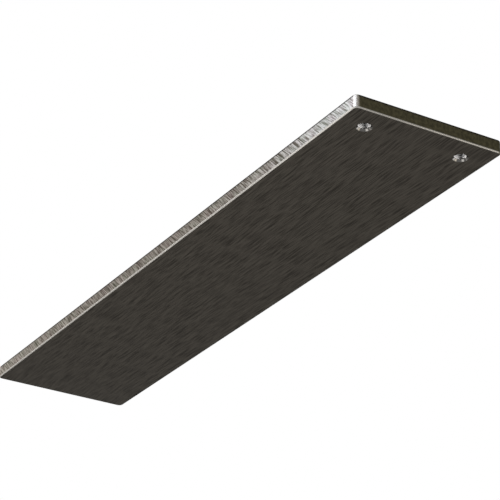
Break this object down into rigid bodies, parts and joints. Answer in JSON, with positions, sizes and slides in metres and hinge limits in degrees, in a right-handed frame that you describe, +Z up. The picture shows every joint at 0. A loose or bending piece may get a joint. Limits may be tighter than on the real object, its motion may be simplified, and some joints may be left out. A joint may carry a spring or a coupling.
{
  "type": "floating shelf bracket",
  "caption": "Flat dark brushed-steel bar with rounded corners, with two drilled and chamfered screw holes near one end, that carries a shelf or worktop on its upper face.",
  "frame": {"origin": "midway between the screw holes, on the upper bearing face", "axes": "+X along the bar from the screw holes to its plain end, +Y across the bar, +Z up out of the bearing face; the holes are chamfered at the underside"},
  "size_m": [0.3556, 0.0762, 0.0063],
  "materials": {
    "brushed_steel": "brushed"
  },
  "bodies": {
    "root": {"bracket_plate": "brushed_steel"}
  },
  "joints": []
}
